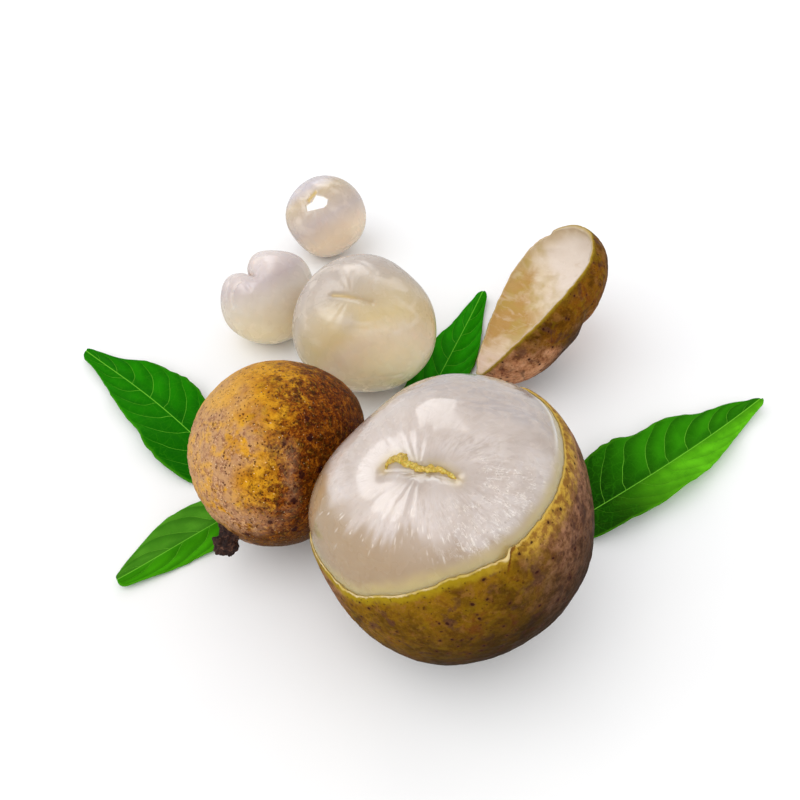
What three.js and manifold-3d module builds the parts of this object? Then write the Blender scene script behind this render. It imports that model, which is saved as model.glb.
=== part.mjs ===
// A bunch of longans laid on a table: one half-peeled fruit in its shell, one whole fruit, three peeled
// arils, the piece of shell that was taken off, and four leaflets. Millimetres, +Z up. The table is z = 0,
// and the origin is the middle of the flat spot that the half-peeled fruit rests on.

import * as THREE from 'three';
import Module from 'manifold-3d';

const wasm = await Module();
wasm.setup();

// Driving sizes
const CLEARANCE = 0.35; // air left between two pieces that touch
const SETTLE = 0.3; // how far a round fruit flattens where it rests

const HALF_PEELED_RADIUS = 17;
const SHELL_THICKNESS = 1;
const TORN_THICKNESS = 0.6; // the shell thins towards its torn rim
const SHELL_RIM_ANGLE = 68.3; // degrees from the middle of the opening to the torn rim
const FLESH_RADIUS = HALF_PEELED_RADIUS - SHELL_THICKNESS - CLEARANCE;
const FLESH_BULGE = 1.2; // how far the flesh swells out where the shell no longer holds it
const WHOLE_RADIUS = 12.3;
const LARGE_ARIL_RADIUS = 11.55;
const NOTCHED_ARIL_RADIUS = 8.2;
const SMALL_ARIL_RADIUS = 8.05;
const LEAF_THICKNESS = 0.7;
const MIDRIB_THICKNESS = 1;
const PETIOLE_LENGTH = 3;
const PETIOLE_HALF_WIDTH = 0.6;

const COLOURS = {
  shell: 0x9a7a2c,
  wholeShell: 0xb8842e,
  flesh: 0xe6dcd2,
  scar: 0xc2a63a,
  stalk: 0x2a1610,
  leaf: 0x2f8a1c,
};

const vector = (x, y, z) => new THREE.Vector3(x, y, z);
const unit = (x, y, z) => vector(x, y, z).normalize();
const bell = (x) => Math.exp(-x * x);
const radians = THREE.MathUtils.degToRad;
const { lerp, smoothstep } = THREE.MathUtils;

function material(colour, roughness) {
  return new THREE.MeshStandardMaterial({ color: colour, roughness, metalness: 0 });
}

// A closed surface laid out like a ball: row 0 and row `rows` are its two poles, and the columns run round
// from one to the other. `pointAt` gives each point. With splitAlike, the second half of the columns is
// split into triangles as the first half is, seen from the same side, as a thin waved blade needs.
function closedSurface(rows, columns, pointAt, splitAlike = false) {
  const points = [pointAt(0, 0)];
  for (let row = 1; row < rows; row++) {
    for (let column = 0; column < columns; column++) {
      points.push(pointAt(row, column));
    }
  }
  points.push(pointAt(rows, 0));
  const index = (row, column) => {
    if (row === 0) return 0;
    if (row === rows) return points.length - 1;
    return 1 + (row - 1) * columns + (column % columns);
  };
  const faces = [];
  for (let row = 0; row < rows; row++) {
    for (let column = 0; column < columns; column++) {
      const a = index(row, column);
      const b = index(row + 1, column);
      const c = index(row + 1, column + 1);
      const d = index(row, column + 1);
      if (row === 0) faces.push(a, b, c);
      else if (row === rows - 1) faces.push(a, b, d);
      else if (splitAlike && column < columns / 2) faces.push(a, b, c, a, c, d);
      else faces.push(a, b, d, b, c, d);
    }
  }
  return new THREE.BufferGeometry().setFromPoints(points).setIndex(faces);
}

// Three square directions, the last of them `axis`, and the first as near to `towards` as it can be
function frameAbout(axis, towards) {
  const across = new THREE.Vector3().crossVectors(axis, towards).normalize();
  const along = new THREE.Vector3().crossVectors(across, axis).normalize();
  return { along, across, axis };
}

function polarDirection(frame, polar, around) {
  return vector(0, 0, 0)
    .addScaledVector(frame.along, Math.sin(polar) * Math.cos(around))
    .addScaledVector(frame.across, Math.sin(polar) * Math.sin(around))
    .addScaledVector(frame.axis, Math.cos(polar));
}

// Low swellings and hollows that keep a fruit from being a perfect ball
function swelling(swellings, direction) {
  return swellings.reduce(
    (sum, s) => sum + s.height * bell(direction.angleTo(s.toward) / radians(s.spread)),
    0,
  );
}

// How far the slit over the seed scar draws the flesh in: a dimple, a groove and furrows running out from it
function slitDepth(slit, radius, direction) {
  const { along, across, axis } = slit.frame;
  const up = direction.dot(axis);
  if (up < 0) return 0;
  const x = direction.dot(along) * radius;
  const y = direction.dot(across) * radius;
  const fromSlit = Math.hypot(Math.max(Math.abs(x) - slit.halfLength, 0), y);
  const dimple = slit.dimple * bell(fromSlit / slit.dimpleWidth);
  const groove = slit.groove * bell(fromSlit / slit.grooveWidth);
  const around = Math.atan2(y, x);
  const ripple = Math.cos(slit.furrows * around + 2 * Math.sin(3 * around));
  const reach = smoothstep(fromSlit, 0.5, 3) * (1 - smoothstep(fromSlit, slit.furrowReach * 0.4, slit.furrowReach));
  return dimple + groove + slit.furrowDepth * (0.5 - 0.5 * ripple) * reach;
}

// How far a cleft draws the flesh in: a wide valley with a narrow crease along its floor
function cleftDepth(cleft, radius, direction) {
  const x = direction.dot(cleft.across) * radius;
  const reach = smoothstep(direction.dot(cleft.axis), cleft.from, cleft.full);
  return reach * (cleft.valley * bell(x / cleft.valleyWidth) + cleft.crease * bell(x / cleft.creaseWidth));
}

// A fruit or aril resting on the table or on what is `under` it
function fruitGeometry({ radius, at, under = 0, swellings = [], slit = null, cleft = null, pole, rows, columns }) {
  const centre = vector(at[0], at[1], under + radius - SETTLE);
  const frame = frameAbout(pole, vector(1, 0, 0));
  return closedSurface(rows, columns, (row, column) => {
    const d = polarDirection(frame, (Math.PI * row) / rows, (2 * Math.PI * column) / columns);
    let r = radius + swelling(swellings, d);
    if (slit) r -= slitDepth(slit, radius, d);
    if (cleft) r -= cleftDepth(cleft, radius, d);
    const p = d.multiplyScalar(r).add(centre);
    p.z = Math.max(p.z, under);
    return p;
  });
}

// A tube of changing radius along a curve, closed at both ends, which stand out by `cap`
function taperedTube(curve, radiusAt, rows, columns, cap = 0) {
  const frames = curve.computeFrenetFrames(rows, false);
  return closedSurface(rows + 2, columns, (row, column) => {
    const step = Math.min(Math.max(row - 1, 0), rows);
    const centre = curve.getPointAt(step / rows);
    if (row === 0) return centre.addScaledVector(frames.tangents[0], -cap);
    if (row === rows + 2) return centre.addScaledVector(frames.tangents[rows], cap);
    const around = (2 * Math.PI * column) / columns;
    const r = radiusAt(step / rows, around);
    return centre
      .addScaledVector(frames.normals[step], r * Math.cos(around))
      .addScaledVector(frames.binormals[step], -r * Math.sin(around));
  });
}

function toSolid(geometry) {
  return new wasm.Manifold(
    new wasm.Mesh({
      numProp: 3,
      vertProperties: new Float32Array(geometry.attributes.position.array),
      triVerts: new Uint32Array(geometry.index.array),
    }),
  );
}

function toGeometry(solid) {
  const mesh = solid.getMesh();
  const geometry = new THREE.BufferGeometry();
  geometry.setAttribute('position', new THREE.BufferAttribute(new Float32Array(mesh.vertProperties), 3));
  geometry.setIndex(new THREE.BufferAttribute(new Uint32Array(mesh.triVerts), 1));
  return geometry;
}

// The half-peeled fruit

const OPENING = frameAbout(unit(-0.4, 0.096, 0.911), vector(1, 0, 0));
const HALF_PEELED_CENTRE = vector(0, 0, HALF_PEELED_RADIUS - SETTLE);
const HALF_PEELED_SWELLINGS = [
  { toward: unit(-0.85, 0.5, -0.1), spread: 33, height: -1.4 }, // flat where the whole fruit leans on it
  { toward: unit(-0.99, 0.02, 0.1), spread: 24, height: 1 },
  { toward: unit(0.63, 0.55, 0.55), spread: 28, height: 1.3 },
  { toward: unit(0.92, -0.28, -0.28), spread: 24, height: 0.5 },
  { toward: unit(-0.16, -0.7, -0.7), spread: 24, height: 0.6 },
  { toward: unit(-0.83, -0.4, -0.4), spread: 24, height: -0.3 },
  { toward: unit(-0.1, 0.7, 0.7), spread: 24, height: 0.5 },
  { toward: unit(-0.62, 0.55, 0.56), spread: 24, height: -0.9 },
];
const SEED_SLIT = {
  frame: frameAbout(unit(-0.267, -0.31, 0.912), unit(0.5, -0.141, 0.117)),
  halfLength: 3.9,
  dimple: 1.2,
  dimpleWidth: 3.6,
  groove: 0.4,
  grooveWidth: 0.8,
  furrows: 15,
  furrowDepth: 0.3,
  furrowReach: 13,
};

// How far the torn rim wanders from its plane as it goes round: degrees round, degrees wide, degrees down
const RIM_DIPS = [
  [-131, 14, 2.8],
  [-87, 16, -2.3],
  [-12, 30, 1.6],
  [34, 9, -4],
];
const FAR_RIM_DROP = 11; // the rim is torn lower on the far side, where the flesh bulges over it

function rimAngle(around) {
  const degrees = THREE.MathUtils.euclideanModulo(THREE.MathUtils.radToDeg(around) + 180, 360) - 180;
  const dips = RIM_DIPS.reduce((sum, [at, width, drop]) => sum + drop * bell((degrees - at) / width), 0);
  const far = smoothstep(degrees, 42, 75) * (1 - smoothstep(degrees, 160, 180));
  return radians(SHELL_RIM_ANGLE + dips + FAR_RIM_DROP * far);
}

function shellOuter(direction) {
  return HALF_PEELED_RADIUS + swelling(HALF_PEELED_SWELLINGS, direction);
}

function fleshOuter(direction) {
  const polar = direction.angleTo(OPENING.axis);
  const around = Math.atan2(direction.dot(OPENING.across), direction.dot(OPENING.along));
  const freed = smoothstep(rimAngle(around) - polar, radians(-1), radians(10));
  const r = FLESH_RADIUS + FLESH_BULGE * freed + swelling(HALF_PEELED_SWELLINGS, direction);
  return r - slitDepth(SEED_SLIT, FLESH_RADIUS, direction);
}

function halfPeeledShell() {
  const rings = 13;
  const columns = 48;
  const rows = 2 * rings + 1;
  return closedSurface(rows, columns, (row, column) => {
    const outside = row > rings;
    const ring = outside ? rows - row : row;
    const around = (2 * Math.PI * column) / columns;
    const polar = lerp(Math.PI, rimAngle(around), ring / rings);
    const d = polarDirection(OPENING, polar, around);
    const inset = outside ? 0 : lerp(SHELL_THICKNESS, TORN_THICKNESS, smoothstep(ring / rings, 0.8, 1));
    const p = d.clone().multiplyScalar(shellOuter(d) - inset).add(HALF_PEELED_CENTRE);
    p.z = Math.max(p.z, inset);
    return p;
  });
}

function halfPeeledFleshBody() {
  const rows = 26;
  const columns = 44;
  const floor = SHELL_THICKNESS + CLEARANCE;
  return closedSurface(rows, columns, (row, column) => {
    const d = polarDirection(SEED_SLIT.frame, (Math.PI * row) / rows, (2 * Math.PI * column) / columns);
    const p = d.clone().multiplyScalar(fleshOuter(d)).add(HALF_PEELED_CENTRE);
    p.z = Math.max(p.z, floor);
    return p;
  });
}

// The dry, crinkled edge of the seed scar, lying along the slit
const SCAR_RADIUS = 0.6;
const SCAR_ROUTE = [ // along and across the slit
  [-4.2, 0.2],
  [-3.3, 1.2],
  [-2.1, 1.3],
  [-0.9, 0.5],
  [0.5, 0.5],
  [1.9, 0.6],
  [3.1, 0.2],
  [4.2, -0.3],
];

function scarCurve() {
  const { along, across, axis } = SEED_SLIT.frame;
  const points = SCAR_ROUTE.map(([x, y]) => {
    const d = axis
      .clone()
      .addScaledVector(along, x / FLESH_RADIUS)
      .addScaledVector(across, y / FLESH_RADIUS)
      .normalize();
    return d.clone().multiplyScalar(fleshOuter(d) + SCAR_RADIUS * 0.6).add(HALF_PEELED_CENTRE);
  });
  return new THREE.CatmullRomCurve3(points);
}

function scar(extra) {
  const thickness = (t) => 0.72 + 0.28 * Math.sin(19 * t);
  const taper = (t) => Math.sqrt(Math.sin(Math.PI * lerp(0.1, 0.9, t)));
  return taperedTube(scarCurve(), (t) => SCAR_RADIUS * thickness(t) * taper(t) + extra, 18, 7, extra);
}

function halfPeeledFlesh() {
  return toGeometry(toSolid(halfPeeledFleshBody()).subtract(toSolid(scar(CLEARANCE))));
}

// The whole fruit rests on the lower leaf, against the half-peeled one

const WHOLE_UNDER = MIDRIB_THICKNESS + CLEARANCE;
const WHOLE_FRUIT = {
  radius: WHOLE_RADIUS,
  at: [-22.6, 13.4],
  under: WHOLE_UNDER,
  swellings: [
    { toward: unit(0.85, -0.5, 0.12), spread: 38, height: -1.8 }, // flat side against its neighbour
    { toward: unit(0.77, 0.45, 0.45), spread: 26, height: 0.8 },
    { toward: unit(-0.1, 0.7, 0.7), spread: 38, height: 0.4 },
    { toward: unit(-0.1, -0.7, -0.7), spread: 38, height: 0.6 },
  ],
  pole: unit(-0.49, -0.77, -0.41),
  rows: 22,
  columns: 34,
};

// The broken end of the fruit stalk, wider and ragged where it was torn from the twig
function stalk() {
  const { radius, at, under, pole } = WHOLE_FRUIT;
  const centre = vector(at[0], at[1], under + radius - SETTLE);
  const start = centre.clone().addScaledVector(pole, radius + 0.3 + CLEARANCE);
  const end = centre.clone().addScaledVector(pole, radius + 3.6);
  const bend = start.clone().lerp(end, 0.5).add(vector(-0.15, 0, 0.1));
  const curve = new THREE.CatmullRomCurve3([start, bend, end]);
  return taperedTube(
    curve,
    (t, around) => 1.15 + 0.35 * Math.cos(2 * Math.PI * t) + t * (0.25 + 0.35 * Math.cos(3 * around + 1)),
    5,
    9,
  );
}

// The peeled arils

const LARGE_ARIL = {
  radius: LARGE_ARIL_RADIUS,
  at: [-12, 43.1],
  swellings: [
    { toward: unit(0.9, -0.35, -0.25), spread: 30, height: 0.5 },
    { toward: unit(-0.93, -0.3, -0.2), spread: 30, height: 0.4 },
    { toward: unit(0, -0.75, -0.66), spread: 30, height: -0.5 },
    { toward: unit(0.65, 0.5, 0.57), spread: 24, height: -0.6 },
  ],
  slit: {
    frame: frameAbout(unit(-0.15, -0.44, 0.885), unit(0.636, -0.205, 0.039)),
    halfLength: 3.4,
    dimple: 0.8,
    dimpleWidth: 3,
    groove: 0.5,
    grooveWidth: 0.6,
    furrows: 9,
    furrowDepth: 0.3,
    furrowReach: 9,
  },
  pole: unit(-0.15, -0.44, 0.885),
  rows: 20,
  columns: 32,
};

const NOTCHED_ARIL = {
  radius: NOTCHED_ARIL_RADIUS,
  at: [-29.5, 54.6],
  swellings: [
    { toward: unit(0.65, 0.54, 0.54), spread: 26, height: 0.9 },
    { toward: unit(-0.85, -0.37, -0.37), spread: 26, height: 0.4 },
  ],
  cleft: {
    axis: unit(-0.68, 0.52, 0.52),
    across: unit(0.72, 0.58, 0.36),
    valley: 2.4,
    valleyWidth: 2.7,
    crease: 0.6,
    creaseWidth: 0.6,
    from: 0.1,
    full: 0.85,
  },
  pole: unit(-0.64, 0.5, 0.58),
  rows: 22,
  columns: 34,
};

const SMALL_ARIL = {
  radius: SMALL_ARIL_RADIUS,
  at: [-21, 80.9],
  swellings: [
    { toward: unit(0.55, -0.6, -0.58), spread: 28, height: -0.5 },
    { toward: unit(-0.75, -0.45, -0.48), spread: 28, height: -0.45 },
    { toward: unit(-0.7, 0.5, 0.5), spread: 25, height: -0.3 },
  ],
  slit: {
    frame: frameAbout(unit(-0.15, -0.6, 0.785), unit(0.546, 0.08, 0.146)),
    halfLength: 1.5,
    dimple: 0.5,
    dimpleWidth: 2.2,
    groove: 1.1,
    grooveWidth: 1,
    furrows: 7,
    furrowDepth: 0.2,
    furrowReach: 6,
  },
  pole: unit(-0.15, -0.6, 0.785),
  rows: 18,
  columns: 30,
};

// The piece of shell that was torn off: a cap as wide as the opening it left, lying on its side

const PIECE = {
  centre: vector(14.9, 48.9, 11.55), // middle of its opening
  halfLength: 15.7,
  halfWidth: 12.5,
  depth: 9.7,
  narrowing: 0.26, // the lower end is the sharper one
  lean: -0.8, // how far its belly is pushed to one side
};
const PIECE_FRAME = frameAbout(unit(-0.775, 0.197, 0.601), unit(0.458, 0.83, 0.319));

function piecePoint(polar, around, inset) {
  const across = 1 + PIECE.narrowing * Math.cos(around);
  const belly = Math.sin(polar) + 0.05 * Math.sin(2 * polar);
  const x = (PIECE.halfLength - inset) * belly * Math.cos(around);
  const y = (PIECE.halfWidth - inset) * belly * Math.sin(around) * across + PIECE.lean * Math.cos(polar);
  const wave = 0.9 * Math.cos(2 * around) + 0.6 * Math.sin(2 * around) + 0.2 * Math.cos(3 * around);
  const z = -(PIECE.depth - inset) * Math.cos(polar) + wave * Math.pow(Math.sin(polar), 4);
  return PIECE.centre
    .clone()
    .addScaledVector(PIECE_FRAME.along, x)
    .addScaledVector(PIECE_FRAME.across, y)
    .addScaledVector(PIECE_FRAME.axis, z);
}

function loosePiece() {
  const rings = 10;
  const columns = 32;
  const rows = 2 * rings + 1;
  return closedSurface(rows, columns, (row, column) => {
    const outside = row > rings;
    const ring = outside ? rows - row : row;
    const around = (2 * Math.PI * column) / columns;
    const p = piecePoint((Math.PI / 2) * (ring / rings), around, outside ? 0 : SHELL_THICKNESS);
    p.z = Math.max(p.z, outside ? 0 : SHELL_THICKNESS);
    return p;
  });
}

// The leaflets: a blade folded along its midrib, with a short stalk of its own. Each side of the blade has
// its own width, the place of that width from foot to tip, and how steeply it rises from the midrib.

const LEAVES = {
  left_leaf: {
    tip: [-61.9, 47.8],
    foot: [-31.8, 20],
    bow: 0.6,
    left: { width: 6.7, widest: 0.5, fold: 0.12 },
    right: { width: 6.6, widest: 0.25, fold: 0.12 },
    arch: 1.2,
    tipRise: 0.8,
    wave: 0.3,
  },
  lower_leaf: {
    tip: [-45, 0.4],
    foot: [-16.5, 22],
    bow: 1,
    left: { width: 5.6, widest: 0.66, fold: 0.06 },
    right: { width: 3.6, widest: 0.62, fold: 0.06 },
    arch: 0,
    tipRise: 0.8,
    wave: 0.12,
  },
  right_leaf: {
    tip: [53.9, 35.6],
    foot: [14, 7.6],
    bow: 0.9,
    left: { width: 5.2, widest: 0.4, fold: 0.4 },
    right: { width: 7.9, widest: 0.42, fold: 0.16 },
    arch: 0.8,
    tipRise: 1,
    wave: 0.35,
  },
  back_leaf: {
    tip: [9.8, 64.8],
    foot: [-7, 22.5],
    bow: 0,
    left: { width: 4.6, widest: 0.5, fold: 0.1 },
    right: { width: 4.7, widest: 0.45, fold: 0.1 },
    arch: 0.2,
    tipRise: 1,
    wave: 0.2,
  },
};

// Half the blade's width at t, from 0 at its foot to 1 at its tip
function bladeWidth({ width, widest }, t) {
  const skew = Math.log(0.5) / Math.log(widest);
  return t <= 0 || t >= 1 ? 0 : width * Math.pow(Math.sin(Math.PI * Math.pow(t, skew)), 0.95);
}

function leafGeometry(leaf) {
  const rows = 24;
  const halfColumns = 6;
  const columns = 2 * (halfColumns + 1);
  const tip = new THREE.Vector2(...leaf.tip);
  const heading = new THREE.Vector2(...leaf.foot).sub(tip);
  const bladeLength = heading.length();
  const length = bladeLength + PETIOLE_LENGTH;
  heading.normalize();
  return closedSurface(rows, columns, (row, column) => {
    const top = column <= halfColumns;
    const step = top ? column : columns - 1 - column;
    const end = row === 0 || row === rows;
    const side = end ? 0 : (2 * step) / halfColumns - 1; // -1 on the right edge, 1 on the left
    const forward = (length * row) / rows;
    const t = 1 - forward / bladeLength;
    const half = side < 0 ? leaf.right : leaf.left;
    const reach = Math.max(bladeWidth(half, t), t > 0.5 ? 0.25 : PETIOLE_HALF_WIDTH);
    const inBlade = smoothstep(t, 0, 0.3);
    const sideways = side * reach;
    const bow = leaf.bow * Math.sin(Math.PI * Math.min(1, forward / bladeLength));
    const waves = leaf.wave * side * side * Math.sin(8 * Math.PI * t + 2 * side) * inBlade;
    const arch = leaf.arch * Math.sin(Math.PI * Math.max(0, t)) + leaf.tipRise * Math.pow(Math.max(0, t), 6);
    const thickness = lerp(MIDRIB_THICKNESS, LEAF_THICKNESS, smoothstep(Math.abs(sideways), 0.2, 1.6));
    const under = Math.max(0, arch + Math.abs(sideways) * half.fold * inBlade + waves);
    const height = end ? under + thickness / 2 : under + (top ? thickness : 0);
    const x = tip.x + heading.x * forward - heading.y * (sideways + bow);
    const y = tip.y + heading.y * forward + heading.x * (sideways + bow);
    return vector(x, y, height);
  }, true);
}

const bunch = new THREE.Group();

function add(name, geometry, colour, roughness) {
  const mesh = new THREE.Mesh(geometry, material(colour, roughness));
  mesh.name = name;
  bunch.add(mesh);
}

add('half_peeled_shell', halfPeeledShell(), COLOURS.shell, 0.5);
add('half_peeled_flesh', halfPeeledFlesh(), COLOURS.flesh, 0.2);
add('half_peeled_scar', scar(0), COLOURS.scar, 0.7);
add('whole_fruit', fruitGeometry(WHOLE_FRUIT), COLOURS.wholeShell, 0.55);
add('whole_fruit_stalk', stalk(), COLOURS.stalk, 0.8);
add('large_aril', fruitGeometry(LARGE_ARIL), COLOURS.flesh, 0.2);
add('notched_aril', fruitGeometry(NOTCHED_ARIL), COLOURS.flesh, 0.2);
add('small_aril', fruitGeometry(SMALL_ARIL), COLOURS.flesh, 0.2);
add('loose_shell_piece', loosePiece(), COLOURS.shell, 0.5);
for (const [name, leaf] of Object.entries(LEAVES)) {
  add(name, leafGeometry(leaf), COLOURS.leaf, 0.45);
}

export default bunch;
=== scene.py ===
# The looks of a bunch of longans laid on a pale table: a half-peeled fruit, a whole one, three peeled arils,
# a loose piece of shell and four leaflets. Shapes are worked out in millimetres, in the frame of the CAD
# model: +Z up, the table at z = 0, and the origin under the half-peeled fruit.

import itertools
import math

import bpy
import numpy as np
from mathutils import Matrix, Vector


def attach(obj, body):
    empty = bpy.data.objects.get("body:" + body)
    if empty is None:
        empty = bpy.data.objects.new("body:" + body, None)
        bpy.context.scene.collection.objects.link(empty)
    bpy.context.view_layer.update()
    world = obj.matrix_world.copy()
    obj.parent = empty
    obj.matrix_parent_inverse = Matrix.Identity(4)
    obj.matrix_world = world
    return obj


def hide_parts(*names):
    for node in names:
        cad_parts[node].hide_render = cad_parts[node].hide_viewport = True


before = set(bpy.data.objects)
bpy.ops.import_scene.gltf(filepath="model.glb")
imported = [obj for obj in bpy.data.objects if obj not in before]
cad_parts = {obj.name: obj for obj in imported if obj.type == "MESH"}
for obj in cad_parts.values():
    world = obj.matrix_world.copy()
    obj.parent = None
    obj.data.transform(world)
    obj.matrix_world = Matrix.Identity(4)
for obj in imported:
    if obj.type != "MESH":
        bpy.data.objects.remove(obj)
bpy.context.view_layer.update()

MM = 0.001

# Driving sizes, as in the CAD model
CLEARANCE = 0.35
SETTLE = 0.3
HALF_PEELED_RADIUS = 17
SHELL_THICKNESS = 1
TORN_THICKNESS = 0.6
SHELL_RIM_ANGLE = 68.3
FLESH_RADIUS = HALF_PEELED_RADIUS - SHELL_THICKNESS - CLEARANCE
FLESH_BULGE = 1.2
WHOLE_RADIUS = 12.3
LARGE_ARIL_RADIUS = 11.55
NOTCHED_ARIL_RADIUS = 8.2
SMALL_ARIL_RADIUS = 8.05
MIDRIB_THICKNESS = 1
PETIOLE_LENGTH = 3
PETIOLE_HALF_WIDTH = 0.6

FIBRE_HEIGHT = 0.02
TABLE_REACH = 2000
TABLE_GAP = 0.05  # how far the table is below z = 0, so that no face lies on another

# The light from all around goes from the first strength to the second between these heights on a unit sphere
WORLD_HEIGHTS = (-0.8, -0.05)
WORLD_STRENGTHS = (0.35, 0.88)
LIT_MIDDLE = (-5, 30, 10)  # what the softboxes face

# The camera, at the photograph's viewing angle
CAMERA_PLACE = (-6.18, -60.95, 97.85)
CAMERA_TILT = 45
CAMERA_ANGLE = 52


# Vectors and smooth steps

def vector(x, y, z):
    return np.array([x, y, z], float)


def unit(x, y, z):
    return vector(x, y, z) / math.sqrt(x * x + y * y + z * z)


def frame_about(axis, towards):
    """Three square directions: the last is the axis, and the first is as near to `towards` as it can be."""
    across = np.cross(axis, towards)
    across /= np.linalg.norm(across)
    return np.cross(across, axis), across, axis


def bell(x):
    return np.exp(-np.square(x))


def smoothstep(x, low, high):
    t = np.clip((x - low) / (high - low), 0, 1)
    return t * t * (3 - 2 * t)


def plateau(x, start, full, fading, gone):
    """Rises from 0 at `start` to 1 at `full`, and falls from 1 at `fading` to 0 at `gone`."""
    return smoothstep(x, start, full) * (1 - smoothstep(x, fading, gone))


def lerp(a, b, t):
    return a + (b - a) * t


def directions(axes, polar, around):
    along, across, axis = axes
    polar, around = polar[..., None], around[..., None]
    level = along * np.cos(around) + across * np.sin(around)
    return level * np.sin(polar) + axis * np.cos(polar)


def angle_from(way, d):
    return np.arccos(np.clip(d @ way, -1, 1))


def polar_and_around(axes, d):
    along, across, axis = axes
    return angle_from(axis, d), np.arctan2(d @ across, d @ along)


def full_turn(columns):
    return 2 * math.pi * np.arange(columns) / columns


# Smooth noise in space, the same on every run

def lattice(cell, seed):
    """A fixed number from -1 to 1 for each corner of a grid."""
    x, y, z = (cell[..., i].astype(np.uint32) for i in range(3))
    mixed = x * np.uint32(374761393) + y * np.uint32(668265263) + z * np.uint32(2246822519)
    mixed = mixed + np.uint32(seed * 9973)
    mixed = (mixed ^ (mixed >> np.uint32(13))) * np.uint32(1274126177)
    mixed ^= mixed >> np.uint32(16)
    return (mixed & np.uint32(0xFFFF)) / 32767.5 - 1


def noise(points, size, seed=0):
    """Smooth noise from -1 to 1 whose lumps are about `size` mm across."""
    scaled = points / size + 1000
    cell = np.floor(scaled).astype(np.int64)
    part = scaled - cell
    part = part * part * (3 - 2 * part)
    total = 0
    for corner in itertools.product((0, 1), repeat=3):
        weight = np.prod(np.where(corner, part, 1 - part), axis=-1)
        total = total + weight * lattice(cell + np.array(corner), seed)
    return total


def from_line(points, line):
    """The distance of each point from a line through several others."""
    nearest = np.full(points.shape[:-1], 1e9)
    for start, end in zip(line[:-1], line[1:]):
        step = end - start
        share = np.clip((points - start) @ step / (step @ step), 0, 1)
        nearest = np.minimum(nearest, np.linalg.norm(points - start - share[..., None] * step, axis=-1))
    return nearest


def rough(points, *layers):
    """Noise in layers, each with its height, the size of its lumps and its seed."""
    return sum(height * noise(points, size, seed) for height, size, seed in layers)


def noise_along(places, size, seed):
    """Smooth noise along a line."""
    return noise(np.stack([places, 0 * places, 0 * places], -1), size, seed)


def add_object(name, data):
    made = bpy.data.objects.new(name, data)
    bpy.context.scene.collection.objects.link(made)
    return made


# Closed surfaces laid out like a ball, as in the CAD model: the first and the last row are its two poles

def closed_mesh(name, points, floor=0, **attributes):
    """A mesh of points in (rows + 1) x columns, in mm, none of them below the floor.

    Each attribute has a number, or three of them, for each point.
    """
    points[..., 2] = np.maximum(points[..., 2], floor)
    rows, columns = points.shape[0] - 1, points.shape[1]

    def once(values):
        inner = values[1:-1].reshape(-1, *values.shape[2:])
        return np.concatenate([values[:1, 0], inner, values[-1:, 0]])

    row, column = np.meshgrid(np.arange(rows - 2), np.arange(columns), indexing="ij")
    corner = 1 + row * columns
    beside = (column + 1) % columns
    below = corner + columns
    quads = np.stack([corner + column, below + column, below + beside, corner + beside], -1)
    around = np.arange(columns)
    beside = (around + 1) % columns
    last = 1 + (rows - 2) * columns
    first_fan = np.stack([0 * around, 1 + around, 1 + beside], -1)
    last_fan = np.stack([last + around, 0 * around + last + columns, last + beside], -1)
    faces = first_fan.tolist() + quads.reshape(-1, 4).tolist() + last_fan.tolist()
    mesh = bpy.data.meshes.new(name)
    mesh.from_pydata(once(points) * MM, [], faces)
    for key, values in attributes.items():
        values = once(values).astype(np.float32)
        kind, field = ("FLOAT_VECTOR", "vector") if values.ndim > 1 else ("FLOAT", "value")
        mesh.attributes.new(key, kind, "POINT").data.foreach_set(field, values.ravel())
    mesh.shade_smooth()
    return add_object(name, mesh)


def ball_grid(rows, columns, crowd=1):
    """Polar and around angles. With crowd over 1 the rows lie closer near the first pole."""
    return np.meshgrid(math.pi * np.linspace(0, 1, rows + 1) ** crowd, full_turn(columns), indexing="ij")


def cup_grid(outer_rings, inner_rings, columns, crowd=1):
    """How far each point of a cup is towards its rim, from 0 to 1, and round it, and whether it is outside.

    The rows go up the inside and down the outside. With crowd under 1 the outer ones lie closer near the rim.
    """
    rows = outer_rings + inner_rings + 1
    row = np.arange(rows + 1)
    outside = row > inner_rings
    ring = np.where(outside, ((rows - row) / outer_rings) ** crowd, row / inner_rings)
    ring, around = np.meshgrid(ring, full_turn(columns), indexing="ij")
    return ring, around, np.broadcast_to(outside[:, None], ring.shape)


def circle(around, radius):
    return np.stack([np.cos(around), np.sin(around), 0 * around], -1) * radius


def swelling(swellings, d):
    total = 0
    for way, spread, height in swellings:
        total = total + height * bell(angle_from(unit(*way), d) / math.radians(spread))
    return total


def slit_shape(axis, towards, half_length, furrow_reach, **sizes):
    """A slit with furrows about it. It has a dimple and a groove only where `sizes` gives them a depth."""
    shape = {"frame": frame_about(unit(*axis), unit(*towards)), "half_length": half_length}
    shape.update({"dimple": 0, "dimple_width": 1, "groove": 0, "groove_width": 1})
    shape.update({"furrows": 7, "furrow_depth": 0.05, "furrow_reach": furrow_reach})
    return {**shape, **sizes}


def slit_place(slit, radius, d):
    """Along and across the slit, and the distance from it, all in mm."""
    along, across, _ = slit["frame"]
    x = (d @ along) * radius
    y = (d @ across) * radius
    return x, y, np.hypot(np.maximum(np.abs(x) - slit["half_length"], 0), y)


def slit_depth(slit, radius, d):
    x, y, from_slit = slit_place(slit, radius, d)
    dimple = slit["dimple"] * bell(from_slit / slit["dimple_width"])
    groove = slit["groove"] * bell(from_slit / slit["groove_width"])
    around = np.arctan2(y, x)
    ripple = np.cos(slit["furrows"] * around + 2 * np.sin(3 * around))
    reach = slit["furrow_reach"]
    furrow = slit["furrow_depth"] * (0.5 - 0.5 * ripple) * plateau(from_slit, 0.5, 3, reach * 0.4, reach)
    depth = dimple + groove + furrow
    return np.where(d @ slit["frame"][2] < 0, 0, depth)


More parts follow.
